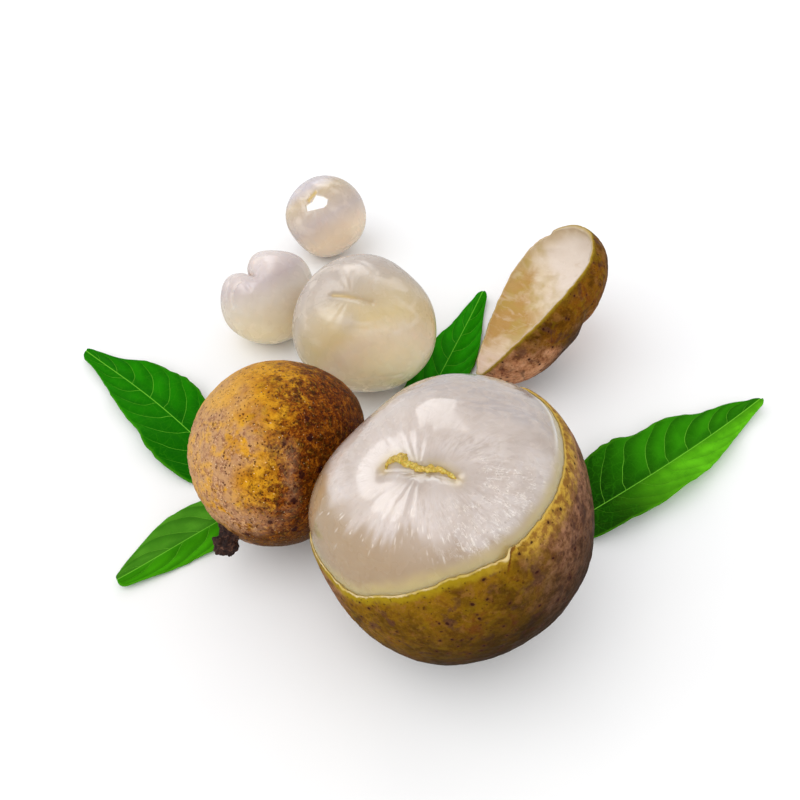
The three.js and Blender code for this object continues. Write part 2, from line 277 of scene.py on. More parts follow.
def fibres(slit, radius, d):
    """Which fibre each point is on, as a point on a circle, and its distance from the slit in mm.

    The fibres stand square to the slit and fan out round its ends, as hyperbolas do round their foci.
    """
    x, y, from_slit = slit_place(slit, radius, d)
    turn = np.arccosh((x + 1j * y) / slit["half_length"]).imag
    turn = np.where(y < 0, -np.abs(turn), np.abs(turn))
    behind = np.where(d @ slit["frame"][2] < 0, 2 * radius - from_slit, from_slit)
    return np.stack([np.cos(turn), np.sin(turn), behind], -1)


def fibre_relief(fibre, count, length, seed):
    """Fine ridges along the fibres, from -1 to 1."""
    spots = fibre * vector(count, count, 1 / length)
    return noise(spots, 1, seed) * 0.6 + noise(spots * vector(2.2, 2.2, 1.4), 1, seed + 5) * 0.4


# The half-peeled fruit

OPENING = frame_about(unit(-0.4, 0.096, 0.911), vector(1, 0, 0))
HALF_PEELED_CENTRE = vector(0, 0, HALF_PEELED_RADIUS - SETTLE)
HALF_PEELED_SWELLINGS = [
    ((-0.85, 0.5, -0.1), 33, -1.4),
    ((-0.99, 0.02, 0.1), 24, 1),
    ((0.63, 0.55, 0.55), 28, 1.3),
    ((0.92, -0.28, -0.28), 24, 0.5),
    ((-0.16, -0.7, -0.7), 24, 0.6),
    ((-0.83, -0.4, -0.4), 24, -0.3),
    ((-0.1, 0.7, 0.7), 24, 0.5),
    ((-0.62, 0.55, 0.56), 24, -0.9),
]
SEED_SLIT = slit_shape(
    (-0.267, -0.31, 0.912), (0.5, -0.141, 0.117), 3.9, 13,
    dimple=0.95, dimple_width=3.6, groove=0.4, groove_width=0.8, furrows=15,
)
RIM_DIPS = [(-131, 14, 2.8), (-87, 16, -2.3), (-12, 30, 1.6), (34, 9, -4)]
FAR_RIM_DROP = 11
TEAR_AT = -56  # degrees round, where the rim is split and curls
TEAR_LENGTH = 3.2
TEAR_DEPTH = 0.3
CURL_HEIGHT = 0.75


def rim_angle(around):
    degrees = (np.degrees(around) + 180) % 360 - 180
    dips = sum(drop * bell((degrees - at) / width) for at, width, drop in RIM_DIPS)
    return np.radians(SHELL_RIM_ANGLE + dips + FAR_RIM_DROP * plateau(degrees, 42, 75, 160, 180))


def torn_rim_angle(around):
    """The rim with its fine ragged edge and the tongue beside its tear."""
    spots = circle(around, HALF_PEELED_RADIUS)
    ragged = rough(spots, (0.4, 2.4, 3), (0.3, 0.9, 4), (0.25, 0.45, 5))
    tongue = 1.6 * bell((from_tear(around) + 0.5) / 0.7)
    return rim_angle(around) + np.radians(ragged - tongue)


def from_tear(around):
    """How far round the rim from its tear, in mm."""
    degrees = (np.degrees(around) - TEAR_AT + 180) % 360 - 180
    return np.radians(degrees) * HALF_PEELED_RADIUS * math.sin(math.radians(SHELL_RIM_ANGLE))


def half_peeled_shell():
    ring, around, outside = cup_grid(150, 46, 500, 0.85)
    rim = torn_rim_angle(around)
    polar = lerp(math.pi, rim, ring)
    d = directions(OPENING, polar, around)
    from_rim = (polar - rim) * HALF_PEELED_RADIUS
    spots = d * HALF_PEELED_RADIUS
    from_crack = from_tear(around) + 1.1 * from_rim + 0.3 * noise(spots, 0.8, 9)
    crack = bell(from_crack / 0.2) * (1 - smoothstep(from_rim, TEAR_LENGTH * 0.3, TEAR_LENGTH * 0.8))
    curl = bell((from_tear(around) + 1) / 0.9) * bell(from_rim / 0.6)
    skin = rough(spots, (0.07, 3, 11), (0.04, 0.8, 12), (0.02, 0.4, 13))
    worn = 0.14 * bell(from_rim / 0.3)
    swell = swelling(HALF_PEELED_SWELLINGS, d)
    outer = HALF_PEELED_RADIUS + swell + skin - worn - TEAR_DEPTH * crack + CURL_HEIGHT * curl
    snug, _ = flesh_outer(d)
    inner = lerp(snug + 0.01, HALF_PEELED_RADIUS + swell - SHELL_THICKNESS, smoothstep(from_rim, 2.5, 6))
    inner = inner + 0.7 * curl
    points = d * np.where(outside, outer, inner)[..., None] + HALF_PEELED_CENTRE
    floor = np.where(outside, 0, SHELL_THICKNESS)
    marks = {"from_rim": from_rim, "inside": 1.0 - outside, "crack": crack, "curl": curl}
    return closed_mesh("half_peeled_shell_skin", points, floor, **marks)


FLESH_AT_RIM = 1.08  # how much of the bulge the flesh has reached where it leaves the shell


def flesh_outer(d):
    """How far the flesh reaches from the middle, and how far it is inside the rim, in mm."""
    polar, around = polar_and_around(OPENING, d)
    to_rim = (rim_angle(around) - polar) * HALF_PEELED_RADIUS
    r = FLESH_RADIUS + FLESH_AT_RIM * smoothstep(to_rim, -5, 0.2)
    r = r + (FLESH_BULGE - FLESH_AT_RIM) * smoothstep(to_rim, -0.5, 4) + swelling(HALF_PEELED_SWELLINGS, d)
    return r - slit_depth(SEED_SLIT, FLESH_RADIUS, d), to_rim


def half_peeled_flesh():
    polar, around = ball_grid(230, 430, 1.25)
    d = directions(SEED_SLIT["frame"], polar, around)
    r, to_rim = flesh_outer(d)
    fibre = fibres(SEED_SLIT, FLESH_RADIUS, d)
    spots = d * FLESH_RADIUS
    from_slit = fibre[..., 2]
    right, back, _ = slit_place(SEED_SLIT, FLESH_RADIUS, d)
    drip = noise(fibre * vector(7, 7, 0), 1, 24) + 0.8 * noise(fibre * vector(19, 19, 0), 1, 26)
    within_rim = smoothstep(to_rim, 0.8, 2.4)
    reach = 6.8 + 3.5 * smoothstep(back, -6, 4) + 0.8 * noise(spots, 5, 21) + 1.2 * drip
    streaked = plateau(from_slit, 0.8, 3, reach * 0.78, reach + 0.7) * within_rim
    dripping = bell((from_slit - reach + 0.4) / 1.5) * (1 - smoothstep(back, 0, 4)) * within_rim
    crumbs = bell((back + 0.5) / 0.45) * bell(right / 2.8) * smoothstep(noise(spots, 0.55, 36), -0.1, 0.4)
    crinkled = smoothstep(right, 1, 6) * plateau(back, -9, -6.5, 1, 4)
    crinkled = crinkled * smoothstep(from_slit, 1.5, 3.5) * smoothstep(to_rim, 1, 2.5)
    veiled = smoothstep(back + 0.2 * right + 0.9 * noise(spots, 3, 27), 8, 10)
    veiled = veiled * smoothstep(to_rim, 0.5, 1.5)
    patches = 0.45 + 0.55 * smoothstep(noise(spots, 3, 25), -0.4, 0.5)
    relief = streaked * patches * fibre_relief(fibre, 12, 2.6, 22)
    crease = bell(noise(spots + 0.6 * noise(spots, 1.5, 28)[..., None], 1.1, 29) / 0.16)
    fold = bell(noise(spots * vector(0.5, 1, 1), 1.5, 30) / 0.25)
    r = r + FIBRE_HEIGHT * relief + 0.05 * crinkled * crease + 0.06 * veiled * fold
    r = r + 0.04 * noise(spots, 4, 23)
    degrees = np.degrees(polar_and_around(OPENING, d)[1])
    membrane = bell((to_rim - 1.4) / 0.22) * plateau(degrees, -14, 4, 50, 75)
    r = r + 0.1 * membrane + 0.12 * crumbs
    return closed_mesh(
        "half_peeled_flesh_body",
        d * r[..., None] + HALF_PEELED_CENTRE,
        SHELL_THICKNESS + 0.05,
        fibre=fibre,
        to_rim=to_rim,
        streaked=streaked * patches,
        crinkled=crinkled,
        dripping=dripping,
        veiled=veiled,
        golden=0.55 * bell(from_line(d * r[..., None], scar_centres(80)) / 0.8),
        opened=0.5 * membrane + 0.35 * crumbs,
        up=d[..., 2],
    )


SCAR_RADIUS = 0.58
SCAR_ROUTE = [
    (-4.2, 0.2), (-3.3, 1.2), (-2.1, 1.3), (-0.9, 0.5), (0.5, 0.5), (1.9, 0.6), (3.1, 0.2), (4.2, -0.3)
]


def spline(route, t):
    """A smooth curve through the points of a route, evenly spaced in t from 0 to 1."""
    route = np.asarray(route, float)
    padded = np.vstack([2 * route[0] - route[1], route, 2 * route[-1] - route[-2]])
    place = np.clip(t, 0, 1) * (len(route) - 1)
    i = np.minimum(place.astype(int), len(route) - 2)
    u = (place - i)[:, None]
    a, b, c, e = padded[i], padded[i + 1], padded[i + 2], padded[i + 3]
    return 0.5 * (2 * b + (c - a) * u + (2 * a - 5 * b + 4 * c - e) * u**2 + (3 * b - a - 3 * c + e) * u**3)


def tube_points(centres, outward, radius, flatness=1):
    """Rings of points round a line of centres. `outward` is the way from the fruit to each centre."""
    ahead = np.gradient(centres, axis=0)
    ahead /= np.linalg.norm(ahead, axis=1, keepdims=True)
    sideways = np.cross(ahead, outward)
    sideways /= np.linalg.norm(sideways, axis=1, keepdims=True)
    up = np.cross(sideways, ahead) * flatness
    around = full_turn(radius.shape[1])
    ring = sideways[:, None] * np.cos(around)[:, None] - up[:, None] * np.sin(around)[:, None]
    return centres[:, None] + ring * radius[..., None], np.broadcast_to(np.sin(around), radius.shape)


def scar_centres(count):
    """The middle line of the scar along the bottom of the dimple, from the fruit's middle."""
    t = np.linspace(0, 1, count)
    along, across, axis = SEED_SLIT["frame"]
    route = spline(SCAR_ROUTE, t)
    route[:, 1] += 0.16 * noise_along(t * 60, 3.5, 31) + 0.1 * noise_along(t * 60, 1.4, 32)
    d = axis + along * route[:, :1] / FLESH_RADIUS + across * route[:, 1:] / FLESH_RADIUS
    d /= np.linalg.norm(d, axis=1, keepdims=True)
    r, _ = flesh_outer(d)
    return d * (r + SCAR_RADIUS * 0.1)[:, None]


def scar():
    rows, columns = 260, 36
    t = np.linspace(0, 1, rows + 1)
    centres = scar_centres(rows + 1)
    outward = centres / np.linalg.norm(centres, axis=1, keepdims=True)
    centres = centres + HALF_PEELED_CENTRE
    end = np.sqrt(np.clip(np.sin(math.pi * t), 0, 1))
    uneven = 0.8 + 0.35 * noise_along(t * 14, 1, 35)
    plain = (SCAR_RADIUS * end * uneven)[:, None] * np.ones((1, columns))
    points, _ = tube_points(centres, outward, plain, 0.7)
    crinkle = 1 + 0.28 * noise(points, 0.5, 33) + 0.2 * noise(points, 0.22, 34)
    points, down = tube_points(centres, outward, plain * crinkle, 0.7)
    return closed_mesh("half_peeled_scar_edge", points, down=down)


# The whole fruit and the broken end of its stalk

WHOLE_UNDER = MIDRIB_THICKNESS + CLEARANCE
WHOLE_POLE = unit(-0.49, -0.77, -0.41)
WHOLE_CENTRE = vector(-22.6, 13.4, WHOLE_UNDER + WHOLE_RADIUS - SETTLE)
WHOLE_SWELLINGS = [
    ((0.85, -0.5, 0.12), 38, -1.8),
    ((0.77, 0.45, 0.45), 26, 0.8),
    ((-0.1, 0.7, 0.7), 38, 0.4),
    ((-0.1, -0.7, -0.7), 38, 0.6),
]
# The skin is darker on this side: partly its own mahogany colour, partly painted shade away from the
# upper-left light.
DARK_AND_SHADED_SIDE = unit(0.95, -0.07, -0.28)
SCURFY_SIDE = unit(-0.82, -0.52, 0.24)


def whole_fruit():
    polar, around = ball_grid(226, 440)
    d = directions(frame_about(WHOLE_POLE, vector(1, 0, 0)), polar, around)
    spots = d * WHOLE_RADIUS
    scurfy = d @ SCURFY_SIDE
    scurf = smoothstep(scurfy + 0.35 * noise(spots, 3.5, 41), 0.4, 0.85)
    bumps = noise(spots * vector(1.3, 1, 0.7), 0.6, 47) + 0.5 * noise(spots, 0.34, 48)
    lump = smoothstep(bumps, -0.2, 0.6) * scurf
    skin = rough(spots, (0.1, 3.5, 43), (0.04, 0.9, 44), (0.03, 0.45, 46)) + 0.1 * lump
    r = WHOLE_RADIUS + swelling(WHOLE_SWELLINGS, d) + skin - 0.1
    # Partly the skin's own mahogany side and partly painted shade, which also darkens the underside
    dark_and_shaded = d @ DARK_AND_SHADED_SIDE + 0.4 * smoothstep(-d[..., 2], -0.1, 0.5)
    marks = {"dark_and_shaded": dark_and_shaded, "scurfy": scurfy, "scurf": scurf, "lump": lump}
    return closed_mesh("whole_fruit_skin", d * r[..., None] + WHOLE_CENTRE, WHOLE_UNDER, **marks)


STALK_LENGTH = 3.1
STALK_RADIUS = 1.5
STALK_SINK = 0.35


def stalk():
    """A short stub, as thick as it is long, that is broken off unevenly."""
    rows, columns = 90, 72
    t = np.linspace(0, 1, rows + 1)[:, None]
    start = WHOLE_CENTRE + WHOLE_POLE * (WHOLE_RADIUS - STALK_SINK)
    end = WHOLE_CENTRE + WHOLE_POLE * (WHOLE_RADIUS + STALK_LENGTH) + vector(0.3, 0, -0.2)
    inner = np.clip(t * 1.24 - 0.12, 0, 1)
    apart = 0.02 * t  # keeps the centres at each end from falling together
    route = start + (end - start) * inner + WHOLE_POLE * apart
    outward = np.broadcast_to(vector(0, 0.3, 1), route.shape)
    around = full_turn(columns)
    waist = STALK_RADIUS + 0.25 * np.cos(3 * math.pi * inner) - 0.2 * inner
    cap = np.sqrt(np.clip(np.minimum(t, 1 - t) / 0.1, 0, 1))
    radius = waist * cap * (1 + 0.12 * np.cos(2 * around + 1))
    plain, _ = tube_points(route, outward, radius)
    bark = 0.06 * np.cos(9 * around + 2 * inner) + rough(plain, (0.16, 1.1, 51), (0.12, 0.4, 52))
    points, _ = tube_points(route, outward, radius * (1 + bark))
    ragged = rough(plain, (0.9, 1.2, 53), (0.4, 0.5, 54)) * smoothstep(t, 0.75, 0.95)
    points = points + WHOLE_POLE * ragged[..., None]
    return closed_mesh("whole_fruit_stalk_end", points)


# The peeled arils

# Each swelling is the way to it, its spread in degrees and its height. Each crease is where it starts and
# ends, its depth and its width. Each tint is a place from the darker side, at 0, to the lighter one, and its
# colour. The tints are partly the flesh's own warmer tone and partly painted light: they darken the flesh
# where the lamps light it most and lighten it on the side where shade falls, which evens out its shading.
ARILS = {
    "large_aril": dict(
        radius=LARGE_ARIL_RADIUS,
        at=(-12, 43.1),
        swellings=[
            ((0.9, -0.35, -0.25), 30, 0.5),
            ((-0.93, -0.3, -0.2), 30, 0.4),
            ((0, -0.75, -0.66), 30, -0.5),
            ((0.65, 0.5, 0.57), 24, -0.6),
        ],
        slit=slit_shape(
            (-0.15, -0.44, 0.885), (0.636, -0.205, 0.039), 3.4, 9,
            dimple=0.8, dimple_width=3, groove=0.34, groove_width=0.6, furrows=9, furrow_depth=0.07,
        ),
        creases=[
            ((-0.15, -0.97, -0.17), (0.17, -0.98, -0.11), 0.16, 0.22),
            ((0.17, -0.98, -0.11), (0.53, -0.83, -0.18), 0.22, 0.22),
            ((0.17, -0.31, 0.94), (0.18, -0.08, 0.98), 0.06, 0.5),
            ((0.18, -0.08, 0.98), (-0.01, 0.13, 0.99), 0.06, 0.5),
        ],
        # painted shade: a grey smudge where the seed's hollow shows through the flesh
        hollow_shade_at=(-0.163, -0.741, 0.651),
        swirl_at=5,
        grid=(190, 340, 1.4),
        seed=60,
        tint_and_painted_light_side=(0.35, -0.88, -0.3),
        tints=[
            (0.32, (182, 171, 163)), (0.45, (184, 172, 158)), (0.73, (210, 192, 150)),
            (0.84, (229, 213, 188)), (0.96, (255, 240, 206)),
        ],
    ),
    "notched_aril": dict(
        radius=NOTCHED_ARIL_RADIUS,
        at=(-29.5, 54.6),
        swellings=[((0.65, 0.54, 0.54), 26, 0.9), ((-0.85, -0.37, -0.37), 26, 0.4)],
        slit=slit_shape((-0.64, 0.5, 0.58), (0.3, -0.2, 0.5), 2, 7),
        cleft=dict(
            axis=unit(-0.68, 0.52, 0.52), across=unit(0.72, 0.58, 0.36), valley=2.2, valley_width=2.3,
            crease=0.8, crease_width=0.5, start=0.1, full=0.85,
        ),
        creases=[
            ((-0.49, -0.4, 0.77), (-0.63, -0.53, 0.57), 0.3, 0.28),
            ((-0.63, -0.53, 0.57), (-0.62, -0.73, 0.3), 0.22, 0.28),
            ((-0.38, -0.47, 0.8), (-0.22, -0.66, 0.72), 0.16, 0.35),
            ((-0.74, -0.28, 0.61), (-0.78, -0.5, 0.38), 0.2, 0.28),
        ],
        swirl_at=3,
        grid=(150, 260, 1.2),
        seed=70,
        tint_and_painted_light_side=(0.35, -0.35, -0.87),
        tints=[
            (0.09, (204, 193, 192)), (0.24, (186, 175, 176)), (0.38, (203, 194, 185)),
            (0.79, (238, 223, 189)),
        ],
    ),
    "small_aril": dict(
        radius=SMALL_ARIL_RADIUS,
        at=(-21, 80.9),
        swellings=[
            ((0.55, -0.6, -0.58), 28, -0.5),
            ((-0.75, -0.45, -0.48), 28, -0.45),
            ((-0.7, 0.5, 0.5), 25, -0.3),
        ],
        slit=slit_shape((-0.15, -0.6, 0.785), (0.546, 0.08, 0.146), 1.5, 6, dimple=0.35, dimple_width=2.6),
        opening=[
            (-2.3, -0.9), (-2.2, 0.3), (-0.8, 0.6), (0.4, 1.7), (1.7, 1),
            (2.4, 0.2), (1.9, -0.9), (1.2, -1.3), (-0.3, -1.2),
        ],
        opening_depth=0.45,
        creases=[((-0.34, -0.51, 0.79), (-0.17, -0.34, 0.93), 0.2, 0.3)],
        swirl_at=3.2,
        grid=(150, 260, 1.7),
        seed=80,
        tint_and_painted_light_side=(0.5, -0.45, -0.7),
        tints=[
            (0.1, (190, 184, 190)), (0.22, (186, 170, 146)), (0.53, (192, 181, 178)),
            (0.78, (229, 212, 191)),
        ],
    ),
}


def cleft_depth(cleft, radius, d):
    x = (d @ cleft["across"]) * radius
    reach = smoothstep(d @ cleft["axis"], cleft["start"], cleft["full"])
    valley = cleft["valley"] * bell(x / cleft["valley_width"])
    return reach * (valley + cleft["crease"] * bell(x / cleft["crease_width"]))


def crease_depth(creases, radius, d):
    total = 0
    for start, end, depth, width in creases:
        line = np.array([unit(*start), unit(*end)]) * radius
        total = total + depth * bell(from_line(d * radius, line) / width)
    return total


def inside_outline(corners, slit, radius, d):
    """How far each point is inside an outline drawn beside the slit, in mm, below 0 outside it."""
    x, y, _ = slit_place(slit, radius, d)
    within = np.zeros(x.shape, bool)
    spots = np.stack([x, y], -1)
    for (ax, ay), (bx, by) in zip(corners, corners[1:] + corners[:1]):
        crosses = ((ay > y) != (by > y)) & (x < (bx - ax) * (y - ay) / (by - ay + 1e-9) + ax)
        within = within ^ crosses
    edge = from_line(spots, np.array(corners + corners[:1], float))
    return np.where(within & (d @ slit["frame"][2] > 0), edge, -edge)


def aril(name, shape):
    radius, slit, seed = shape["radius"], shape["slit"], shape["seed"]
    polar, around = ball_grid(*shape["grid"])
    d = directions(slit["frame"], polar, around)
    fibre = fibres(slit, radius, d)
    from_slit = fibre[..., 2]
    spots = d * radius
    reach = slit["furrow_reach"] * (0.8 + 0.3 * noise(spots, 4, seed))
    streaked = plateau(from_slit, 0.4, 1.6, reach * 0.6, reach)
    creased = crease_depth(shape["creases"], radius, d)
    folded = np.minimum(1, 4 * creased)
    r = radius + swelling(shape["swellings"], d) - slit_depth(slit, radius, d) - creased
    if "cleft" in shape:
        r = r - cleft_depth(shape["cleft"], radius, d)
    if "opening" in shape:
        # painted light: the small aril's hole is made near-white so that it looks lit, where a recess would
        # lie in shade
        opened = smoothstep(inside_outline(shape["opening"], slit, radius, d), -0.08, 0.1)
        golden = 0.8 * (1 - opened) * folded
        r = r - shape["opening_depth"] * opened
    else:
        # painted highlight: a pale line along the creases
        opened = 0.2 * folded
        golden = 0.6 * bell(from_slit / 0.3) * (slit["groove"] > 0) * smoothstep(-d[..., 0], -0.1, 0.3)
    wavy = smoothstep(noise(spots * vector(0.45, 1, 1.3), 1.2, seed + 4), -0.1, 0.5)
    swirled = wavy * bell((from_slit - shape["swirl_at"] - 1.2 * noise(spots, 3, seed + 6)) / 1.4)
    r = r + FIBRE_HEIGHT * (streaked * fibre_relief(fibre, 10, 2.6, seed + 1) + swirled)
    r = r + 0.03 * noise(spots, 3.5, seed + 2)
    marks = {"fibre": fibre, "streaked": streaked, "golden": golden, "opened": opened, "swirled": swirled}
    # painted light: the way towards which the flesh is tinted lighter and warmer, where shade falls on it
    marks["paler"] = d @ unit(*shape["tint_and_painted_light_side"])
    if "hollow_shade_at" in shape:
        marks["grey"] = bell(angle_from(unit(*shape["hollow_shade_at"]), d) / 0.14)
    return closed_mesh(name, d * r[..., None] + vector(*shape["at"], radius - SETTLE), **marks)


# The loose piece of shell

PIECE_CENTRE = vector(14.9, 48.9, 11.55)
PIECE_HALF_LENGTH = 15.7
PIECE_HALF_WIDTH = 12.5
PIECE_DEPTH = 9.7
PIECE_NARROWING = 0.26
PIECE_LEAN = -0.8
PIECE_NOTCH = 8  # degrees round, where the rim is nicked
PIECE_GIRTH = 1.4  # mm along the cup, from its middle to its rim, for each mm of half its width
PIECE_WAIST = {"at": -1, "depth": 0.8, "width": 1.3}  # a crease across the belly
PIECE_FRAME = frame_about(unit(-0.775, 0.197, 0.601), unit(0.458, 0.83, 0.319))


def loose_piece():
    ring, around, outside = cup_grid(110, 100, 420)
    ragged = rough(circle(around, PIECE_HALF_WIDTH), (0.007, 2.5, 91), (0.004, 1, 92), (0.003, 0.5, 98))
    notch = 0.025 * bell((np.degrees(around) - PIECE_NOTCH) / 4)
    polar = math.pi / 2 * ring * (1 + (ragged - notch) * ring**3)
    inset = np.where(outside, 0, lerp(SHELL_THICKNESS, TORN_THICKNESS, smoothstep(ring, 0.8, 1)))
    narrow = 1 + PIECE_NARROWING * np.cos(around)
    belly = np.sin(polar) + 0.05 * np.sin(2 * polar)
    x = (PIECE_HALF_LENGTH - inset) * belly * np.cos(around)
    y = (PIECE_HALF_WIDTH - inset) * belly * np.sin(around) * narrow + PIECE_LEAN * np.cos(polar)
    wave = 0.9 * np.cos(2 * around) + 0.6 * np.sin(2 * around) + 0.2 * np.cos(3 * around)
    z = -(PIECE_DEPTH - inset) * np.cos(polar) + wave * np.sin(polar) ** 4
    local = np.stack([x, y, z], -1)
    crossing = bell((x - PIECE_WAIST["at"] + 0.4 * noise(local, 3, 100)) / PIECE_WAIST["width"])
    skin = rough(local, (0.1, 3, 93), (0.05, 0.8, 94), (0.03, 0.45, 99))
    skin = skin - PIECE_WAIST["depth"] * crossing * smoothstep(-z, 3.5, 8)
    lining = 0.1 * noise(local, 2.2, 95) + 0.06 * noise(local * vector(1.4, 0.3, 0.3), 0.8, 96)
    local = local * (1 + np.where(outside, skin, -lining) / np.linalg.norm(local, axis=-1))[..., None]
    points = PIECE_CENTRE + local @ np.array(PIECE_FRAME)
    floor = np.where(outside, 0, TORN_THICKNESS)
    marks = {"from_rim": (1 - ring) * PIECE_HALF_WIDTH * PIECE_GIRTH, "inside": 1.0 - outside, "place": local}
    return closed_mesh("loose_shell_piece_skin", points, floor, **marks)


# The leaflets

VEIN_SPACING = 4.6
TIP_RADIUS = 1
TIP_INSET = 0.36
TIP_HALF_WIDTH = 0.25
BLADE_THICKNESS = 0.3
EDGE_THICKNESS = 0.2


def half_blade(width, widest, fold, quilt=0.16):
    """One side of a leaflet, with its width in mm.

    `widest` is a share of the way from foot to tip. `fold` is the rise for each mm from the midrib.
    `quilt` is how far the blade bulges between its veins.
    """
    return {"width": width, "widest": widest, "fold": fold, "quilt": quilt}


# The looks are the greens of the left half, the right half, the foot and the veins, and how plain the veins
# and the painted shade between them are on the left half. The foot's green is painted shade, where the foot
# lies under and between the fruits. The right leaflet's paler left half is painted light, where that raised
# half catches the light, and the lower leaflet's paler left half is a painted sheen.
LEAVES = {
    "left_leaf": dict(
        tip=(-61.9, 47.8), foot=(-31.8, 20), bow=0.6, arch=1.2, tip_rise=0.8, wave=0.3,
        left=half_blade(6.7, 0.5, 0.12), right=half_blade(6.6, 0.25, 0.12),
        looks=((29, 126, 3), (30, 124, 4), (16, 94, 2), (136, 222, 64), 1.0),
    ),
    "lower_leaf": dict(
        tip=(-45, 0.4), foot=(-16.5, 22), bow=1, arch=0, tip_rise=0.8, wave=0.12,
        left=half_blade(5.6, 0.66, 0.06), right=half_blade(3.6, 0.62, 0.06),
        looks=((82, 150, 36), (68, 162, 12), (36, 98, 10), (126, 210, 60), 1.0),
    ),
    "right_leaf": dict(
        tip=(53.9, 35.6), foot=(14, 7.6), bow=0.9, arch=0.8, tip_rise=1, wave=0.35,
        left=half_blade(5.2, 0.4, 0.4, 0.05), right=half_blade(7.9, 0.42, 0.16),
        looks=((101, 196, 26), (50, 136, 10), (14, 50, 3), (136, 222, 64), 0.4),
    ),
    "back_leaf": dict(
        tip=(9.8, 64.8), foot=(-7, 22.5), bow=0, arch=0.2, tip_rise=1, wave=0.2,
        left=half_blade(4.6, 0.5, 0.1), right=half_blade(4.7, 0.45, 0.1),
        looks=((34, 138, 3), (36, 140, 6), (17, 96, 3), (126, 212, 60), 1.0),
    ),
}


def blade_width(most, widest, t, from_tip):
    """Half a blade's width. Its tip is rounded, `TIP_RADIUS` across to each side."""
    inside = np.clip(t, 1e-6, 1 - 1e-6)
    width = most * np.sin(math.pi * inside ** (math.log(0.5) / np.log(widest))) ** 0.85
    blunt = TIP_RADIUS * np.sqrt(1 - np.square(np.clip(1 - from_tip / TIP_RADIUS, 0, 1)))
    width = np.where(t > 0.5, np.hypot(width, blunt * smoothstep(t, 0.75, 0.97)), width)
    return np.where((t <= 0) | (t >= 1), 0, width)


def vein_phase(to_foot, edge, side):
    """A whole number on each lateral vein. They leave the midrib steeply and sweep towards the tip."""
    sweep = 1.1 * edge + 0.9 * edge**3
    return to_foot / VEIN_SPACING - sweep + np.where(side < 0, 0.5, 0)


def leaf(name, shape):
    rows, half_columns = 250, 30
    columns = 2 * (half_columns + 1)
    row, column = np.meshgrid(np.arange(rows + 1), np.arange(columns), indexing="ij")
    top = column <= half_columns
    end = (row == 0) | (row == rows)
    side = np.where(end, 0, 2 * np.where(top, column, columns - 1 - column) / half_columns - 1)
    edge = np.abs(side)

    def of_side(key):
        return np.where(side < 0, shape["right"][key], shape["left"][key])

    tip, foot = np.array(shape["tip"]), np.array(shape["foot"])
    length = np.linalg.norm(foot - tip)
    forward = (length + PETIOLE_LENGTH) * (row / rows) ** 1.2
    t = 1 - forward / length
    in_blade = smoothstep(t, 0, 0.3)
    towards_tip = np.maximum(0, t)
    width = blade_width(of_side("width"), of_side("widest"), t, forward)
    width = np.maximum(width, np.where(t > 0.5, TIP_HALF_WIDTH, PETIOLE_HALF_WIDTH))
    nicks = np.stack([forward, np.sign(side) * 40, 0 * forward], -1)
    sideways = side * width * (1 + rough(nicks, (0.05, 4.5, 97), (0.02, 1.3, 98)) * edge * in_blade)
    from_rib = np.abs(sideways)
    waves = shape["wave"] * edge**2 * np.sin(8 * math.pi * t + 2 * side) * in_blade
    arch = shape["arch"] * np.sin(math.pi * towards_tip) + shape["tip_rise"] * towards_tip**6
    under = np.maximum(0, arch + from_rib * of_side("fold") * in_blade + waves)
    between_veins = 0.5 - 0.5 * np.cos(2 * math.pi * vein_phase(t * length, edge, side))
    quilt = of_side("quilt") * between_veins * smoothstep(from_rib, 0.3, 1.5) * (1 - edge**4) * in_blade
    thickness = lerp(MIDRIB_THICKNESS - 0.1, BLADE_THICKNESS, smoothstep(from_rib, 0.2, 1.6)) + quilt
    thickness = np.where(edge > 0.97, EDGE_THICKNESS, thickness)
    height = np.where(end, under + 0.15, under + np.where(top, thickness, 0))
    heading = (foot - tip) / length
    ahead = forward + TIP_INSET * towards_tip
    across = sideways + shape["bow"] * np.sin(math.pi * np.minimum(1, forward / length))
    x = tip[0] + heading[0] * ahead - heading[1] * across
    y = tip[1] + heading[1] * ahead + heading[0] * across
    marks = {"blade": np.stack([t * length, sideways, edge], -1), "side": side, "to_tip": t}
    return closed_mesh(name + "_blade", np.stack([x, y, height], -1), **marks)


# Materials. Colours are given as they look on a screen, from 0 to 255.

def linear(colour):
    scaled = [c / 255 for c in colour]
    return [c / 12.92 if c <= 0.04045 else ((c + 0.055) / 1.055) ** 2.4 for c in scaled] + [1]


class Value:
    """What a node gives out. Sums, products and steps of it are made by further nodes."""

    def __init__(self, look, socket):
        self.look = look
        self.socket = socket

    def __add__(self, other):
        return self.look.calc("ADD", self, other)

    def __sub__(self, other):
        return self.look.calc("SUBTRACT", self, other)

    def __mul__(self, other):
        return self.look.calc("MULTIPLY", self, other)

    def __abs__(self):
        return self.look.calc("ABSOLUTE", self)

    def step(self, low, high, top=1.0, bottom=0.0):
        """Goes smoothly from `bottom` where the value is `low` to `top` where it is `high`."""
        numbers = enumerate((self, low, high, bottom, top))
        return self.look.make("ShaderNodeMapRange", numbers, interpolation_type="SMOOTHSTEP")

    def fade(self, low, high, start=1.0):
        """Goes smoothly from `start` where the value is `low` to 0 where it is `high`."""
        return self.step(low, high, 0.0, start)

    def ramp(self, *stops):
        """The colour at this value, between stops that each give a value and its colour."""
        made = self.look.make("ShaderNodeValToRGB", {0: self})
        elements = made.socket.node.color_ramp.elements
        while len(elements) < len(stops):
            elements.new(0.5)
        for element, (at, colour) in zip(elements, stops):
            element.position = at
            element.color = linear(colour)
        return made

    def part(self, letter):
        return self.look.make("ShaderNodeSeparateXYZ", {0: self}, letter)

    def stretched(self, x, y, z):
        return self.look.make("ShaderNodeVectorMath", {0: self, 1: (x, y, z)}, operation="MULTIPLY")


